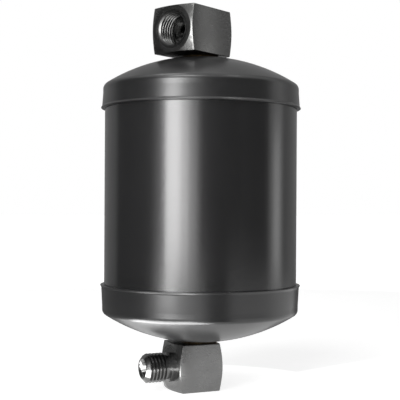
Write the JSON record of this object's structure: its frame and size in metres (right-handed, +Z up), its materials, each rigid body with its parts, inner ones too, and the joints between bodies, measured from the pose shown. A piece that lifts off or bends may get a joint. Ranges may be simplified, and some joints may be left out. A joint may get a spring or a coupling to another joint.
{
  "type": "filter drier",
  "caption": "Upright refrigerant filter drier: a black steel can with a bar-stock inlet fitting on top and a threaded outlet stud below.",
  "frame": {"origin": "on the can's axis, at the underside of the outlet fitting that it stands on", "axes": "+Z up along the can's axis to the inlet fitting, -X the way the outlet stud points"},
  "size_m": [0.0832, 0.0832, 0.1569],
  "materials": {
    "can_paint": "semi-gloss black enamel over steel",
    "fitting_steel": "machined bare steel",
    "braze_alloy": "as-flowed filler",
    "plate_steel": "cold-rolled sheet",
    "glass_fibre": "matted fibre",
    "wire_gauze": "woven wire",
    "desiccant": "matt ceramic beads",
    "spring_steel": "oiled spring wire"
  },
  "bodies": {
    "root": {"shell_tube": "can_paint", "top_end_cap": "can_paint", "bottom_end_cap": "can_paint", "top_seam_braze": "can_paint", "bottom_seam_braze": "can_paint", "inlet_block": "fitting_steel", "outlet_block": "fitting_steel", "inlet_braze_ring": "braze_alloy", "outlet_braze_ring": "braze_alloy", "outlet_perforated_plate": "plate_steel", "pressure_plate": "plate_steel", "outlet_filter_pad": "glass_fibre", "inlet_filter_pad": "glass_fibre", "outlet_screen": "wire_gauze", "inlet_screen": "wire_gauze", "desiccant_bed": "desiccant", "compression_spring": "spring_steel", "outlet_strainer": "wire_gauze", "strainer_collar": "plate_steel"}
  },
  "joints": []
}
